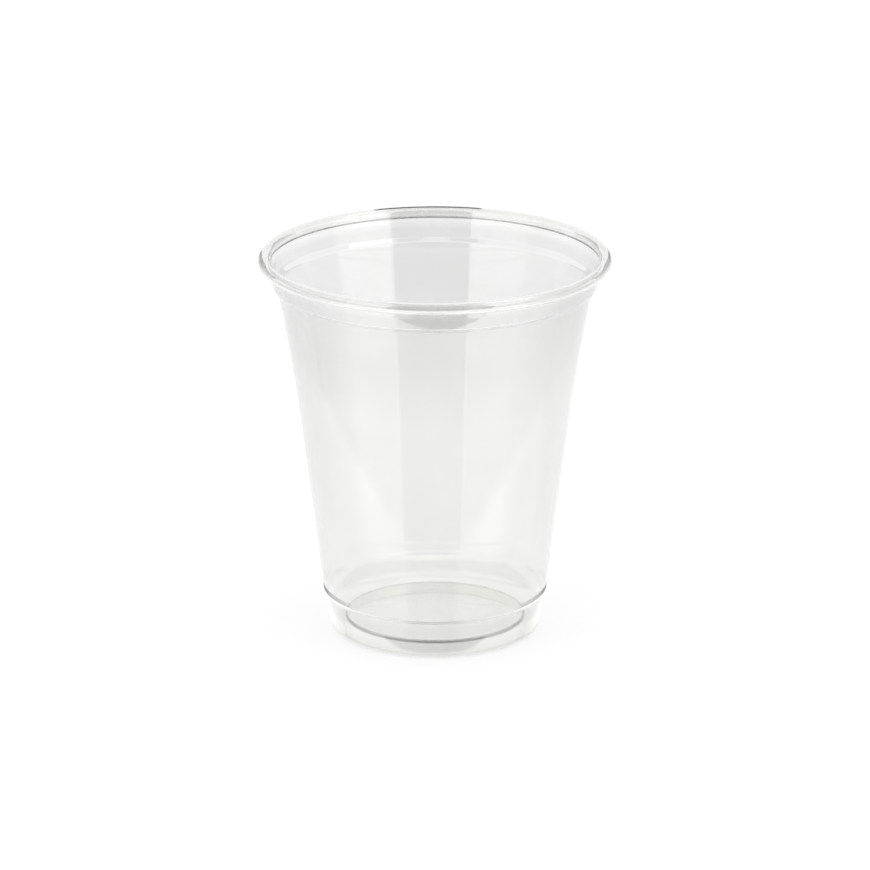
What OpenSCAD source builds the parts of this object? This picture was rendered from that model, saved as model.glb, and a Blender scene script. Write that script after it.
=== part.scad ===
// Clear disposable cold cup with a rolled rim, formed in one piece from thin plastic sheet.
// Millimetres, +Z up. The origin is the centre of the ring that the cup stands on.
// The section is drawn as the outside line of the sheet, from the middle of the floor
// out to the tip of the roll, and the inside line lies one sheet thickness away from it.

/* [Overall] */
// Height from the table to the top of the rim
cup_h = 109; // [98:1:125]
// Outside diameter of the rolled rim, which the lid snaps over
rim_d = 98; // [94:0.5:104]
// Outside diameter of the foot, just above its heel
foot_d = 59; // [54:0.5:63]

/* [Sheet] */
// Thickness of the floor
floor_t = 0.38; // [0.25:0.01:0.5]
// Thickness of the foot and the side wall
wall_t = 0.28; // [0.2:0.01:0.4]
// Thickness of the neck
neck_t = 0.34; // [0.25:0.01:0.5]
// Thickness of the rolled edge
roll_t = 0.45; // [0.3:0.01:0.6]

/* [Rim] */
// Height and width of the rolled edge
roll_d = 3.4; // [2.8:0.1:3.8]
// Angle at which the rolled edge ends, measured round the roll from the mouth's side
roll_end = 300; // [250:5:310]

/* [Neck] */
// Depth of the stacking ledge below the top of the rim
ledge_depth = 8.5; // [8:0.5:12]
// How far the rolled edge stands out past the neck at the ledge
overhang = 3.9; // [3.6:0.1:5.5]
// Height of the neck's lower band, above which it runs out to the roll
band_h = 3.2; // [2:0.1:4]
// Draft of the lower band, in degrees
band_draft = 7; // [1:1:9]
// Radius of the bend at the top of the band
band_r = 2; // [1:0.1:3]
// Width of the ledge
ledge_w = 1.4; // [1:0.1:2]
// Slope of the ledge from level, in degrees
ledge_slope = 38; // [30:1:50]
// Radius of the ledge's two bends
ledge_r = 0.7; // [0.5:0.1:0.9]

/* [Side wall] */
// How far the top of the wall runs out beyond its straight taper
flare = 1.5; // [0.5:0.1:4]
// Height of the wall's upper part, over which the flare grows
flare_h = 40; // [20:1:60]

/* [Foot] */
// Height of the stacking shoulder above the table
shoulder_h = 11; // [8:0.5:14]
// Width of the shoulder
shoulder_w = 0.9; // [0.8:0.1:1.6]
// Slope of the shoulder from level, in degrees
shoulder_slope = 40; // [36:1:50]
// Radius of the shoulder's two bends
shoulder_r = 1.2; // [0.5:0.1:1.4]
// Draft of the foot's side, in degrees
foot_draft = 5.5; // [2:0.5:6]
// Radius of the heel
heel_r = 2.8; // [2:0.1:3.4]
// Width of the flat ring that the cup stands on
stand_w = 0.8; // [0.5:0.1:1.2]

/* [Floor] */
// Height of the floor's underside above the table, at its edge
push_up = 4; // [3:0.1:6]
// Draft of the riser between the standing ring and the floor, in degrees
riser_draft = 8; // [3:1:12]
// Radius at the top and the bottom of the riser
riser_r = 0.5; // [0.4:0.1:1]
// Rise of the floor's domed middle
dome_rise = 1.1; // [0.4:0.1:2]
// Width of the level margin round the dome
floor_margin = 5.5; // [3:0.5:8]

/* [Hidden] */

// Largest turn between two points of a bend, in degrees
BEND_STEP = 12;
// Number of straight runs in the section of the flare and of the dome
FLARE_RUNS = 14;
DOME_RUNS = 10;
// Colour and clearness of the sheet
SHEET_COLOUR = "whitesmoke";
SHEET_ALPHA = 0.35;

// Length of straight line that a bend takes up on each side of its corner
function run_in(r, turn) = r * tan(turn / 2);

// Middle of the roll's section, and the radius of its hollow
roll_mid = [rim_d / 2 - roll_d / 2, cup_h - roll_d / 2];
hollow_r = roll_d / 2 - roll_t;

// Edges of the flat standing ring
heel = [foot_d / 2 - heel_r * tan(foot_draft), 0];
stand_out = heel.x - run_in(heel_r, 90 - foot_draft);
stand_in = [stand_out - stand_w - run_in(riser_r, 90 - riser_draft), 0];

// Corners of the floor and the foot, before they are rounded
floor_end = [stand_in.x - push_up * tan(riser_draft), push_up];
dome_r = floor_end.x - floor_margin;
foot_top = [heel.x + shoulder_h * tan(foot_draft), shoulder_h];
shoulder_top = foot_top + shoulder_w * [1, tan(shoulder_slope)];

// Corners of the ledge and the neck, before they are rounded
ledge_top = [rim_d / 2 - overhang, cup_h - ledge_depth];
ledge_low = ledge_top - ledge_w * [1, tan(ledge_slope)];
band_top = ledge_top + band_h * [tan(band_draft), 1];

// The neck meets the roll where a line from the band's top touches the roll's hollow
roll_reach = roll_mid - band_top;
run_out = atan2(roll_reach.x, roll_reach.y) - asin(hollow_r / norm(roll_reach));
roll_start = roll_mid + hollow_r * [-cos(run_out), sin(run_out)];

// Unit vector along v, and v turned a quarter turn to the left
function unit(v) = v / norm(v);
function left(v) = [-v.y, v.x];

// A turn brought between -180 and 180 degrees
function short_turn(a) = a > 180 ? a - 360 : a < -180 ? a + 360 : a;

// A point of the outside line, which carries the thickness t of the sheet
function station(p, t) = [p.x, p.y, t];

// Stations of an arc about mid
function arc(mid, r, from, turn, t) =
    let (runs = ceil(abs(turn) / BEND_STEP))
    [for (i = [0:runs]) let (a = from + turn * i / runs) station(mid + r * [cos(a), sin(a)], t)];

// Stations of the corner b, between a and c, rounded to radius r
function bend(a, b, c, r, t) =
    let (
        to_a = unit(a - b),
        to_c = unit(c - b),
        half = acos(to_a * to_c) / 2,
        mid = b + unit(to_a + to_c) * r / sin(half),
        first = b + to_a * r / tan(half) - mid,
        last = b + to_c * r / tan(half) - mid,
        from = atan2(first.y, first.x)
    )
    arc(mid, r, from, short_turn(atan2(last.y, last.x) - from), t);

// The side wall at height z: a straight taper, with a flare that grows as the square of the height
function wall_at(z) =
    let (
        share = (z - shoulder_top.y) / (ledge_low.y - shoulder_top.y),
        grown = max(0, z - ledge_low.y + flare_h) / flare_h
    )
    [shoulder_top.x + (ledge_low.x - flare - shoulder_top.x) * share + flare * pow(grown, 2), z];

// The underside of the dome at share u of its radius, level at its edge
function dome_at(u) = [dome_r * u, push_up + dome_rise * (1 + cos(180 * u)) / 2];

// The outside line of the sheet, piece by piece
floor_line = [for (i = [0:DOME_RUNS]) station(dome_at(i / DOME_RUNS), floor_t)];

foot_line = concat(
    bend(dome_at(1), floor_end, stand_in, riser_r, floor_t),
    bend(floor_end, stand_in, heel, riser_r, wall_t),
    bend(stand_in, heel, foot_top, heel_r, wall_t),
    bend(heel, foot_top, shoulder_top, shoulder_r, wall_t),
    bend(foot_top, shoulder_top, wall_at(ledge_low.y - flare_h), shoulder_r, wall_t)
);

wall_line = [
    for (i = [0:FLARE_RUNS - 1])
        station(wall_at(ledge_low.y - flare_h * (1 - i / FLARE_RUNS)), wall_t)
];

neck_line = concat(
    bend(wall_at(ledge_low.y - flare_h / FLARE_RUNS), ledge_low, ledge_top, ledge_r, wall_t),
    bend(ledge_low, ledge_top, band_top, ledge_r, neck_t),
    bend(ledge_top, band_top, roll_start, band_r, neck_t)
);

roll_line = arc(roll_mid, hollow_r, 180 - run_out, run_out - roll_end, roll_t);

outside = concat(floor_line, foot_line, wall_line, neck_line, roll_line);

// The inside line: each station moved across the sheet by its own thickness
function place(i) = [outside[i].x, outside[i].y];
function crosswise(i) = left(unit(place(i + 1) - place(i)));

function across(i) =
    i == 0 ? [0, 1] :
    i == len(outside) - 1 ? crosswise(i - 1) :
    (crosswise(i - 1) + crosswise(i)) / (1 + crosswise(i - 1) * crosswise(i));

module sheet_section() {
    outer = [for (i = [0:len(outside) - 1]) place(i)];
    inner = [for (i = [len(outside) - 1:-1:0]) place(i) + outside[i].z * across(i)];
    polygon(concat(outer, inner));
}

module cup() {
    color(SHEET_COLOUR, SHEET_ALPHA)
        rotate_extrude($fn = 180)
            sheet_section();
}

cup();
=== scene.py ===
"""Clear disposable cold cup on a white studio table. Metres, +Z up, the cup's axis on Z."""

import math

import bpy
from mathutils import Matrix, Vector


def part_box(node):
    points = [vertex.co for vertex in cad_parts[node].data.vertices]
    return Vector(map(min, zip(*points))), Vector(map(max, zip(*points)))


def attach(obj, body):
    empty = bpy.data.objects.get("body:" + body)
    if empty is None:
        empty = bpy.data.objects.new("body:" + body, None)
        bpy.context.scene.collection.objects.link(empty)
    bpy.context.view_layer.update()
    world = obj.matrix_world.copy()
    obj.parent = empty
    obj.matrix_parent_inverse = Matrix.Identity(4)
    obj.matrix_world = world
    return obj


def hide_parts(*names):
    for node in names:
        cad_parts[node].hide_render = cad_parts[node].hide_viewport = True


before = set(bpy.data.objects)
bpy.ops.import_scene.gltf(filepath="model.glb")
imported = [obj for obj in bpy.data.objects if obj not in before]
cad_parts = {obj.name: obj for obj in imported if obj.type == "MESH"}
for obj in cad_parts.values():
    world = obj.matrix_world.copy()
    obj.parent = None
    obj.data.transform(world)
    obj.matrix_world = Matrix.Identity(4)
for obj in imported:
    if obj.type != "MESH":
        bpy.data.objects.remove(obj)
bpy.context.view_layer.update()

MM = 0.001
cup_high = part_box("cup")[1]

# The cup's sizes, as in its section: overall from the frame, the rest in millimetres and degrees
CUP_H = cup_high.z
RIM_D = 2 * cup_high.y
FOOT_D = 59 * MM
FLOOR_T, WALL_T, NECK_T, ROLL_T = 0.38 * MM, 0.28 * MM, 0.34 * MM, 0.45 * MM
ROLL_D, ROLL_END = 3.4 * MM, 300
LEDGE_DEPTH, LEDGE_W, LEDGE_SLOPE, LEDGE_R = 8.5 * MM, 1.4 * MM, 38, 0.7 * MM
OVERHANG, BAND_H, BAND_DRAFT, BAND_R = 3.9 * MM, 3.2 * MM, 7, 2 * MM
FLARE, FLARE_H = 1.5 * MM, 40 * MM
SHOULDER_H, SHOULDER_W, SHOULDER_SLOPE, SHOULDER_R = 11 * MM, 0.9 * MM, 40, 1.2 * MM
FOOT_DRAFT, HEEL_R, STAND_W = 5.5, 2.8 * MM, 0.8 * MM
PUSH_UP, RISER_DRAFT, RISER_R = 4 * MM, 8, 0.5 * MM
DOME_RISE, FLOOR_MARGIN = 1.1 * MM, 5.5 * MM

# How finely the sheet is modelled, in points round the cup, degrees to a run of a bend, and runs
AROUND = 240
BEND_STEP = 7
FLARE_RUNS = 24
DOME_RUNS = 14

# The sharpest turn that is shaded smooth, in degrees, and how near two points become one
SMOOTH_TURN = 40
MERGE_WITHIN = 1e-7

# The clear sheet. A tint of 1 takes no light away. The tints by height are partly the sheet's own tint
# and partly painted shade: darker or lighter from heel to roll where reflections and the table's shadow
# grey the cup.
SHEET_IOR = 1.8
WHITE = (1, 1, 1, 1)
HEEL_TINT_AND_SHADE = (0.94, 0.94, 0.92, 1)
FLOOR_TINT_AND_SHADE = (0.95, 0.95, 0.933, 1)
FOOT_TINT_AND_SHADE = (0.86, 0.86, 0.85, 1)
WALL_TINT_AND_SHADE = (0.905, 0.905, 0.896, 1)
NECK_TINT_AND_SHADE = (0.85, 0.85, 0.847, 1)
ROLL_TINT_AND_SHADE = (0.93, 0.93, 0.925, 1)
# Painted shade: a dark ring at the riser's top, where the floor meets the riser.
RISER_PAINTED_SHADE = (0.4, 0.4, 0.38, 1)
CLOUD_TINT = (0.975, 0.975, 0.97, 1)

# Stops of its tint and painted shade: by shares of the cup's height (tint with painted shade), by cloud
# (tint), and by nearness to the riser's top (a painted dark line)
TINT_AND_SHADE_UP = (
    (0.03, HEEL_TINT_AND_SHADE), (0.04, FLOOR_TINT_AND_SHADE), (0.052, FLOOR_TINT_AND_SHADE), (0.06, FOOT_TINT_AND_SHADE),
    (0.085, FOOT_TINT_AND_SHADE), (0.1, WALL_TINT_AND_SHADE), (0.65, WALL_TINT_AND_SHADE),
    (0.8, NECK_TINT_AND_SHADE), (0.945, NECK_TINT_AND_SHADE), (0.965, ROLL_TINT_AND_SHADE),
)
CLOUD_TINTS = ((0.35, WHITE), (0.7, CLOUD_TINT))
RISER_SHADE_STOPS = ((0, WHITE), (0.6, RISER_PAINTED_SHADE))
# Where the painted dark line lies: its radius and height, and how far it spreads.
RISER_TOP_R, RISER_TOP_H, RISER_TOP_SPAN = 25.1 * MM, 4 * MM, 0.7 * MM

# Its surface: draw lines from the floor's edge to the roll, rings up the wall, a fine peel, and haze
DRAW_LINES_ROUND, DRAW_LINES_ALONG, DRAW_LINE_H = 26, 9, 0.012 * MM
DRAW_LINES_FROM = (0.4 * FOOT_D, 0.48 * FOOT_D)
DRAW_LINES_TO = (CUP_H - 1.4 * ROLL_D, CUP_H - ROLL_D)
RING_EVERY, RING_H = 5 * MM, 0.006 * MM
PEEL_SIZE, PEEL_H = 1.6 * MM, 0.0015 * MM
CLOUDS_PER_METRE = 45
HAZE_SPAN, HAZE_GLOSS = (0.1, 0.4), (0.015, 0.05)

# The view: picture width in pixels, pixels per metre at the cup, distance and angle above level
FRAME_W = 870
SENSOR_W = 36
SCALE = 3585
CAMERA_FAR = 1.86
CAMERA_UP = 18
AIM_H = 0.0562

# The table's colour, and the light of its own with which it looks white
TABLE_W = 12
TABLE_COLOUR = (0.28, 0.28, 0.28, 1)
TABLE_LIFT = 0.79

# The studio's light, and how many surfaces light may cross
WORLD_LIGHT = 0.8
LAMP_LIGHT, LAMP_SIZE, LAMP_FAR, LAMP_UP = 1.0, 0.9, 1.1, 1.0
LIGHT_CROSSINGS = 500

# Level cards: the place of the middle, the size and the light
LEVEL_CARDS = {
    "overhead_flag": ((-0.01, 0.05, 0.7), (0.32, 0.18), 0.1),
    "overhead_window": ((0.32, 0.05, 0.7), (0.3, 0.18), 2.5),
    "rim_flag": ((-0.002, 0.083, 0.1145), (0.03, 0.066), 0.05),
}

# Rings just above the table: inner and outer radius and height, then the two places on Y between
# which the light changes, and the light at each
RING_CARDS = {
    "reflector": (0.031, 0.35, 0.001, (-0.07, 0.03), (1.48, 1.02)),
    "shoulder_flag": (0.0425, 0.0465, 0.0012, (-0.02, -0.008), (1.35, 0.2)),
    "foot_flag": (0.0305, 0.0365, 0.0012, (-0.0293, -0.0306), (1.3, 0.2)),
}

# Upright cards: azimuths of the left and right side, distance and height, then the two heights
# between which the light changes, and the light at each
UPRIGHT_CARDS = {
    "camera_side": (-28, 34, 0.19, 0.45, (0.02, 0.08), (0.3, 0.02)),
    "right_window": (35, 80, 0.35, 0.45, (0.04, 0.11), (0.75, 1.55)),
    "left_window": (-80, -29, 0.35, 0.45, (0.04, 0.11), (0.65, 1.25)),
    "right_flag": (80, 120, 0.35, 0.45, (0.04, 0.11), (0.6, 1.1)),
    "left_flag": (-120, -80, 0.35, 0.45, (0.04, 0.11), (0.65, 1.15)),
    "right_back_flag": (120, 160, 0.35, 0.24, (0.06, 0.15), (0.9, 0.05)),
    "left_back_flag": (-160, -120, 0.35, 0.24, (0.06, 0.15), (0.85, 0.05)),
}


def point(x, z):
    """A point of the section, at radius x and height z."""
    return Vector((x, z))


def polar(degrees):
    """The unit vector at that angle from level."""
    return point(math.cos(math.radians(degrees)), math.sin(math.radians(degrees)))


def slope(degrees):
    """The tangent of an angle in degrees."""
    return math.tan(math.radians(degrees))


def run_in(r, turn):
    """Length of straight line that a bend takes up on each side of its corner."""
    return r * slope(turn / 2)


def arc(mid, r, start, turn, t):
    """Stations of an arc about mid: each a point of the outside line, and the sheet's thickness."""
    runs = math.ceil(abs(turn) / BEND_STEP)
    return [(mid + r * polar(start + turn * i / runs), t) for i in range(runs + 1)]


def bend(a, b, c, r, t):
    """Stations of the corner b, between a and c, rounded to radius r."""
    to_a, to_c = (a - b).normalized(), (c - b).normalized()
    half = to_a.angle(to_c) / 2
    mid = b + (to_a + to_c).normalized() * r / math.sin(half)
    first = b + to_a * r / math.tan(half) - mid
    last = b + to_c * r / math.tan(half) - mid
    start, end = (math.degrees(math.atan2(v.y, v.x)) for v in (first, last))
    turn = (end - start + 180) % 360 - 180
    return arc(mid, r, start, turn, t)


def section():
    """Stations of the sheet's outside line, from near the floor's middle to the tip of the roll."""
    heel = point(FOOT_D / 2 - HEEL_R * slope(FOOT_DRAFT), 0)
    stand_out = heel.x - run_in(HEEL_R, 90 - FOOT_DRAFT)
    stand_in = point(stand_out - STAND_W - run_in(RISER_R, 90 - RISER_DRAFT), 0)
    floor_end = point(stand_in.x - PUSH_UP * slope(RISER_DRAFT), PUSH_UP)
    dome_r = floor_end.x - FLOOR_MARGIN
    foot_top = point(heel.x + SHOULDER_H * slope(FOOT_DRAFT), SHOULDER_H)
    shoulder_top = foot_top + SHOULDER_W * point(1, slope(SHOULDER_SLOPE))

    ledge_top = point(RIM_D / 2 - OVERHANG, CUP_H - LEDGE_DEPTH)
    ledge_low = ledge_top - LEDGE_W * point(1, slope(LEDGE_SLOPE))
    band_top = ledge_top + BAND_H * point(slope(BAND_DRAFT), 1)
    roll_mid = point(RIM_D / 2 - ROLL_D / 2, CUP_H - ROLL_D / 2)
    hollow_r = ROLL_D / 2 - ROLL_T
    reach = roll_mid - band_top
    run_out = math.degrees(math.atan2(reach.x, reach.y) - math.asin(hollow_r / reach.length))
    roll_start = roll_mid + hollow_r * polar(180 - run_out)

    def wall_at(z):
        """The wall at height z: a straight taper and its flare."""
        share = (z - shoulder_top.y) / (ledge_low.y - shoulder_top.y)
        grown = max(0, z - ledge_low.y + FLARE_H) / FLARE_H
        straight = shoulder_top.x + (ledge_low.x - FLARE - shoulder_top.x) * share
        return point(straight + FLARE * grown**2, z)

    def dome_at(share):
        """The underside of the dome at a share of its radius."""
        return point(dome_r * share, PUSH_UP + DOME_RISE * (1 + math.cos(math.pi * share)) / 2)

    flare_low = ledge_low.y - FLARE_H
    flare_end = wall_at(ledge_low.y - FLARE_H / FLARE_RUNS)
    line = [(dome_at(i / DOME_RUNS), FLOOR_T) for i in range(1, DOME_RUNS + 1)]
    line += bend(dome_at(1), floor_end, stand_in, RISER_R, FLOOR_T)
    line += bend(floor_end, stand_in, heel, RISER_R, WALL_T)
    line += bend(stand_in, heel, foot_top, HEEL_R, WALL_T)
    line += bend(heel, foot_top, shoulder_top, SHOULDER_R, WALL_T)
    line += bend(foot_top, shoulder_top, wall_at(flare_low), SHOULDER_R, WALL_T)
    line += [(wall_at(flare_low + FLARE_H * i / FLARE_RUNS), WALL_T) for i in range(FLARE_RUNS)]
    line += bend(flare_end, ledge_low, ledge_top, LEDGE_R, WALL_T)
    line += bend(ledge_low, ledge_top, band_top, LEDGE_R, NECK_T)
    line += bend(ledge_top, band_top, roll_start, BAND_R, NECK_T)
    line += arc(roll_mid, hollow_r, 180 - run_out, run_out - ROLL_END, ROLL_T)
    return line


def deselect_all():
    """Object mode with nothing selected."""
    if bpy.context.object and bpy.context.object.mode != "OBJECT":
        bpy.ops.object.mode_set(mode="OBJECT")
    bpy.ops.object.select_all(action="DESELECT")


def apply_transforms():
    """Puts the active piece's place, turn and scale into its mesh."""
    bpy.ops.object.transform_apply(location=True, rotation=True, scale=True)


def weigh_ring(t):
    """Gives the selected points their thickness, as a share of the rolled edge's, which is the most."""
    bpy.context.tool_settings.vertex_group_weight = t / ROLL_T
    bpy.ops.object.vertex_group_assign()


def make_cup():
    """The sheet, drawn up ring by ring from a small disc in the floor, then given its thickness."""
    deselect_all()
    line = section()
    before, t = line[0]
    bpy.ops.mesh.primitive_circle_add(
        vertices=AROUND, radius=before.x, fill_type="TRIFAN", location=(0, 0, before.y)
    )
    cup = bpy.context.object
    cup.name = "clear_cup"
    apply_transforms()
    cup.vertex_groups.new(name="sheet")
    bpy.ops.object.mode_set(mode="EDIT")
    bpy.ops.mesh.select_all(action="SELECT")
    weigh_ring(t)
    bpy.ops.mesh.select_all(action="DESELECT")
    bpy.ops.mesh.select_non_manifold()
    for here, t in line[1:]:
        grow = here.x / before.x
        bpy.ops.mesh.extrude_edges_move()
        bpy.ops.transform.resize(value=(grow, grow, 1), center_override=(0, 0, before.y))
        bpy.ops.transform.translate(value=(0, 0, here.y - before.y))
        weigh_ring(t)
        before = here
    bpy.ops.mesh.select_all(action="SELECT")
    bpy.ops.mesh.remove_doubles(threshold=MERGE_WITHIN)
    bpy.ops.mesh.normals_make_consistent(inside=False)
    bpy.ops.object.mode_set(mode="OBJECT")
    face_outwards(cup)
    sheet = cup.modifiers.new("sheet", "SOLIDIFY")
    sheet.thickness = ROLL_T
    sheet.offset = -1
    sheet.use_even_offset = True
    sheet.vertex_group = "sheet"
    bpy.ops.object.modifier_apply(modifier=sheet.name)
    bpy.ops.object.shade_smooth_by_angle(angle=math.radians(SMOOTH_TURN))
    return cup


def face_outwards(cup):
    """Turns the open sheet's faces outwards, so that the floor's middle faces down."""
    middle = min(cup.data.polygons, key=lambda face: Vector(face.center.xy).length)
    if middle.normal.z > 0:
        bpy.ops.object.mode_set(mode="EDIT")
        bpy.ops.mesh.flip_normals()
        bpy.ops.object.mode_set(mode="OBJECT")


def plug(tree, socket, value):
    """Gives a node's input a value, or links another node's output to it."""
    if isinstance(value, bpy.types.NodeSocket):
        tree.links.new(value, socket)
    else:
        socket.default_value = value


def add_node(tree, kind, **values):
    """A shader node, with its inputs and its other settings by name."""
    node = tree.nodes.new(kind)
    for name, value in values.items():
        label = name.replace("_", " ")
        if label in node.inputs:
            plug(tree, node.inputs[label], value)
        else:
            setattr(node, name, value)
    return node


def calculate(tree, operation, a, b=0):
    """One step of arithmetic on two numbers or outputs."""
    node = add_node(tree, "ShaderNodeMath", operation=operation)
    plug(tree, node.inputs[0], a)
    plug(tree, node.inputs[1], b)
    return node.outputs[0]


def reckon(tree, operation, a, b=(0, 0, 0)):
    """One step of arithmetic on two vectors or outputs. A length is a number, the rest are vectors."""
    node = add_node(tree, "ShaderNodeVectorMath", operation=operation)
    plug(tree, node.inputs[0], a)
    plug(tree, node.inputs[1], b)
    return node.outputs["Value" if operation == "LENGTH" else "Vector"]


def graded(tree, value, span, levels=(0, 1), curve="LINEAR"):
    """A level that goes from the first to the second while a value crosses a span."""
    return add_node(
        tree, "ShaderNodeMapRange", interpolation_type=curve, Value=value,
        From_Min=span[0], From_Max=span[1], To_Min=levels[0], To_Max=levels[1],
    ).outputs["Result"]


def near(tree, value, middle, span):
    """1 at a value's middle, falling to 0 at the span away from it."""
    away = calculate(tree, "ABSOLUTE", calculate(tree, "SUBTRACT", value, middle))
    return graded(tree, away, (0, span), (1, 0), "SMOOTHSTEP")


def colours(tree, share, stops):
    """A run of colours: each stop is a share and the colour there."""
    ramp = add_node(tree, "ShaderNodeValToRGB", Fac=share)
    while len(ramp.color_ramp.elements) < len(stops):
        ramp.color_ramp.elements.new(1)
    for element, (position, colour) in zip(ramp.color_ramp.elements, stops):
        element.position = position
        element.color = colour
    return ramp.outputs["Color"]


def bare_material(name):
    """A material without any node yet."""
    material = bpy.data.materials.new(name)
    material.use_nodes = True
    material.node_tree.nodes.clear()
    return material


def clear_sheet():
    """Clear formed sheet: glossy, with draw lines up its wall, faint rings, a fine peel and haze."""
    material = bpy.data.materials.new("clear_sheet")
    material.use_nodes = True
    tree = material.node_tree
    shader = tree.nodes["Principled BSDF"]
    shader.inputs["Transmission Weight"].default_value = 1
    shader.inputs["IOR"].default_value = SHEET_IOR

    place = add_node(tree, "ShaderNodeTexCoord").outputs["Object"]
    level_place = reckon(tree, "MULTIPLY", place, (1, 1, 0))
    heading = reckon(tree, "NORMALIZE", level_place)
    radius = reckon(tree, "LENGTH", level_place)
    height = add_node(tree, "ShaderNodeSeparateXYZ", Vector=place).outputs["Z"]

    spread = reckon(tree, "MULTIPLY", heading, (DRAW_LINES_ROUND / 2,) * 3)
    rise = reckon(tree, "MULTIPLY", place, (0, 0, DRAW_LINES_ALONG))
    drawn = reckon(tree, "ADD", spread, rise)
    draw_lines = add_node(
        tree, "ShaderNodeTexNoise", Vector=drawn, Scale=1, Detail=3, Roughness=0.5
    ).outputs[0]
    past_floor = graded(tree, radius, DRAW_LINES_FROM, curve="SMOOTHSTEP")
    below_roll = graded(tree, height, DRAW_LINES_TO, (1, 0), "SMOOTHSTEP")
    on_wall = calculate(tree, "MULTIPLY", past_floor, below_roll)
    rings = add_node(
        tree, "ShaderNodeTexNoise", noise_dimensions="1D", W=height, Scale=1 / RING_EVERY, Detail=1
    ).outputs[0]
    peel = add_node(
        tree, "ShaderNodeTexNoise", Vector=place, Scale=1 / PEEL_SIZE, Detail=1
    ).outputs[0]

    wall_lines = calculate(tree, "MULTIPLY", draw_lines, on_wall)
    lines_h = calculate(tree, "MULTIPLY", wall_lines, DRAW_LINE_H)
    rings_h = calculate(tree, "MULTIPLY", rings, RING_H)
    peel_h = calculate(tree, "MULTIPLY", peel, PEEL_H)
    relief = calculate(tree, "ADD", calculate(tree, "ADD", lines_h, rings_h), peel_h)
    bump = add_node(tree, "ShaderNodeBump", Strength=1, Distance=1, Height=relief)
    tree.links.new(bump.outputs[0], shader.inputs["Normal"])

    clouds = add_node(
        tree, "ShaderNodeTexNoise", Vector=place, Scale=CLOUDS_PER_METRE, Detail=2
    ).outputs[0]
    haze = calculate(tree, "MULTIPLY", clouds, draw_lines)
    tree.links.new(graded(tree, haze, HAZE_SPAN, HAZE_GLOSS), shader.inputs["Roughness"])

    # The colour by height is partly the sheet's own tint and partly painted shade.
    tint_and_shade_by_height = colours(tree, calculate(tree, "DIVIDE", height, CUP_H), TINT_AND_SHADE_UP)
    by_cloud = colours(tree, clouds, CLOUD_TINTS)
    # Painted shade: a dark line round the riser's top.
    shade_near_riser_height = near(tree, height, RISER_TOP_H, RISER_TOP_SPAN)
    shade_near_riser_radius = near(tree, radius, RISER_TOP_R, RISER_TOP_SPAN)
    painted_riser_shade = colours(tree, calculate(tree, "MULTIPLY", shade_near_riser_height, shade_near_riser_radius), RISER_SHADE_STOPS)
    cloudy_tint_and_shade = reckon(tree, "MULTIPLY", tint_and_shade_by_height, by_cloud)
    tint_and_painted_shade = reckon(tree, "MULTIPLY", cloudy_tint_and_shade, painted_riser_shade)
    tree.links.new(tint_and_painted_shade, shader.inputs["Base Color"])
    return material


def seen_directly(tree):
    """1 where light goes on to the camera, straight or by way of a clear or glossy surface."""
    path = add_node(tree, "ShaderNodeLightPath").outputs
    straight = calculate(tree, "MAXIMUM", path["Is Camera Ray"], path["Is Glossy Ray"])
    return calculate(tree, "MAXIMUM", straight, path["Is Transmission Ray"])


def light_world():
    """White where it is seen, also in or through the cup, and a plain level where it lights."""
    world = bpy.data.worlds.new("studio")
    bpy.context.scene.world = world
    world.use_nodes = True
    tree = world.node_tree
    tree.nodes.clear()
    level = graded(tree, seen_directly(tree), (0, 1), (WORLD_LIGHT, 1))
    glow = add_node(tree, "ShaderNodeBackground", Color=WHITE, Strength=level)
    add_node(tree, "ShaderNodeOutputWorld", Surface=glow.outputs[0])


def rectangle(name, size, place=(0, 0, 0), turn=(0, 0, 0)):
    """A flat rectangle about its middle, level unless it is turned."""
    deselect_all()
    bpy.ops.mesh.primitive_plane_add(size=1)
    piece = bpy.context.object
    piece.name = name
    piece.scale = (*size, 1)
    piece.rotation_euler = turn
    piece.location = place
    apply_transforms()
    return piece


def make_table():
    """A wide white table top that keeps the cup's shadow."""
    table = rectangle("table", (TABLE_W, TABLE_W))
    material = bare_material("white_table")
    tree = material.node_tree
    matt = add_node(tree, "ShaderNodeBsdfDiffuse", Color=TABLE_COLOUR)
    lift = calculate(tree, "MULTIPLY", seen_directly(tree), TABLE_LIFT)
    glow = add_node(tree, "ShaderNodeEmission", Color=WHITE, Strength=lift)
    both = add_node(tree, "ShaderNodeAddShader")
    tree.links.new(matt.outputs[0], both.inputs[0])
    tree.links.new(glow.outputs[0], both.inputs[1])
    add_node(tree, "ShaderNodeOutputMaterial", Surface=both.outputs[0])
    table.data.materials.append(material)


def round_table(azimuth, distance, height):
    """A place round the cup. Azimuth is 0 on the camera's side and grows to the right."""
    turn = math.radians(azimuth)
    return Vector((distance * math.sin(turn), -distance * math.cos(turn), height))


def softbox(name, azimuth):
    """A square soft lamp turned to the cup's foot. It lights the table, and no reflection shows it."""
    data = bpy.data.lights.new(name, "AREA")
    data.size = LAMP_SIZE
    data.energy = LAMP_LIGHT * LAMP_SIZE * LAMP_SIZE * math.pi
    lamp = bpy.data.objects.new(name, data)
    bpy.context.scene.collection.objects.link(lamp)
    lamp.location = round_table(azimuth, LAMP_FAR, LAMP_UP)
    lamp.rotation_euler = lamp.location.to_track_quat("Z", "Y").to_euler()
    lamp.visible_glossy = False
    lamp.visible_transmission = False


def upright_card(name, left, right, distance, height, span, levels):
    """An upright card that fills the view from the cup between two azimuths."""
    half = (right - left) / 2
    middle = left + half
    piece = rectangle(
        name,
        size=(2 * distance * slope(half), height),
        place=round_table(middle, distance, height / 2),
        turn=(math.radians(90), 0, math.radians(middle)),
    )
    show_in_reflections(piece, "Z", span, levels)


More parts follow.
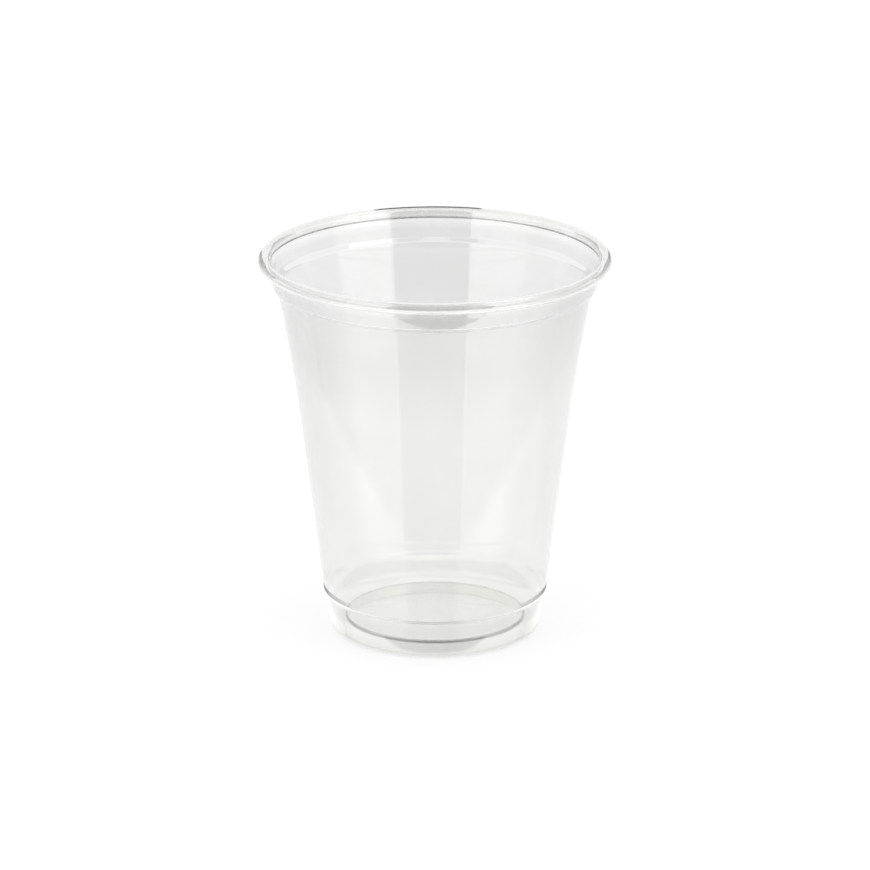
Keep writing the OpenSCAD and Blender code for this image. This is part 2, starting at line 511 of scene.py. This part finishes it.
def level_card(name, place, size, level):
    """A level card of one light all over."""
    show_in_reflections(rectangle(name, size, place), "Z", (0, 1), (level, level))


def ring_card(name, inner, outer, height, span, levels):
    """A flat ring round the foot, graded from the camera's side to the back."""
    deselect_all()
    bpy.ops.mesh.primitive_circle_add(vertices=AROUND, radius=outer, location=(0, 0, height))
    piece = bpy.context.object
    piece.name = name
    apply_transforms()
    shrink = inner / outer
    bpy.ops.object.mode_set(mode="EDIT")
    bpy.ops.mesh.select_all(action="SELECT")
    bpy.ops.mesh.extrude_edges_move()
    bpy.ops.transform.resize(value=(shrink, shrink, 1), center_override=(0, 0, height))
    bpy.ops.object.mode_set(mode="OBJECT")
    show_in_reflections(piece, "Y", span, levels)


def show_in_reflections(piece, axis, span, levels):
    """Gives a card light that only reflections show, graded along an axis between two places."""
    material = bare_material(piece.name)
    tree = material.node_tree
    reflections = add_node(tree, "ShaderNodeLightPath").outputs["Glossy Depth"]
    mirrored = calculate(tree, "GREATER_THAN", reflections, 0)
    place = add_node(tree, "ShaderNodeTexCoord").outputs["Object"]
    along = add_node(tree, "ShaderNodeSeparateXYZ", Vector=place).outputs[axis]
    clear = add_node(tree, "ShaderNodeBsdfTransparent")
    glow = add_node(
        tree, "ShaderNodeEmission", Color=WHITE, Strength=graded(tree, along, span, levels)
    )
    either = add_node(tree, "ShaderNodeMixShader", Fac=mirrored)
    tree.links.new(clear.outputs[0], either.inputs[1])
    tree.links.new(glow.outputs[0], either.inputs[2])
    add_node(tree, "ShaderNodeOutputMaterial", Surface=either.outputs[0])
    piece.data.materials.append(material)
    piece.visible_camera = False
    piece.visible_diffuse = False
    piece.visible_shadow = False


def place_camera():
    """The photograph's view, from above through a long lens."""
    data = bpy.data.cameras.new("camera")
    data.sensor_width = SENSOR_W
    data.lens = SCALE * CAMERA_FAR / FRAME_W * SENSOR_W
    camera = bpy.data.objects.new("camera", data)
    bpy.context.scene.collection.objects.link(camera)
    tilt = math.radians(CAMERA_UP)
    aim = Vector((0, 0, AIM_H))
    camera.location = aim + CAMERA_FAR * Vector((0, -math.cos(tilt), math.sin(tilt)))
    camera.rotation_euler = (math.radians(90) - tilt, 0, 0)
    bpy.context.scene.camera = camera


def let_light_cross():
    """Light may cross the sheet many times, as it does in the rolled edge and under the floor."""
    cycles = bpy.context.scene.cycles
    cycles.max_bounces = LIGHT_CROSSINGS
    cycles.transmission_bounces = LIGHT_CROSSINGS
    cycles.glossy_bounces = LIGHT_CROSSINGS


place_camera()
bpy.context.scene.view_settings.view_transform = "Standard"
let_light_cross()
light_world()
make_table()
softbox("key_softbox", azimuth=60)
softbox("fill_softbox", azimuth=-60)
for card, values in LEVEL_CARDS.items():
    level_card(card, *values)
for card, values in RING_CARDS.items():
    ring_card(card, *values)
for card, values in UPRIGHT_CARDS.items():
    upright_card(card, *values)

cup = make_cup()
cup.data.materials.append(clear_sheet())
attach(cup, "root")
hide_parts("cup")
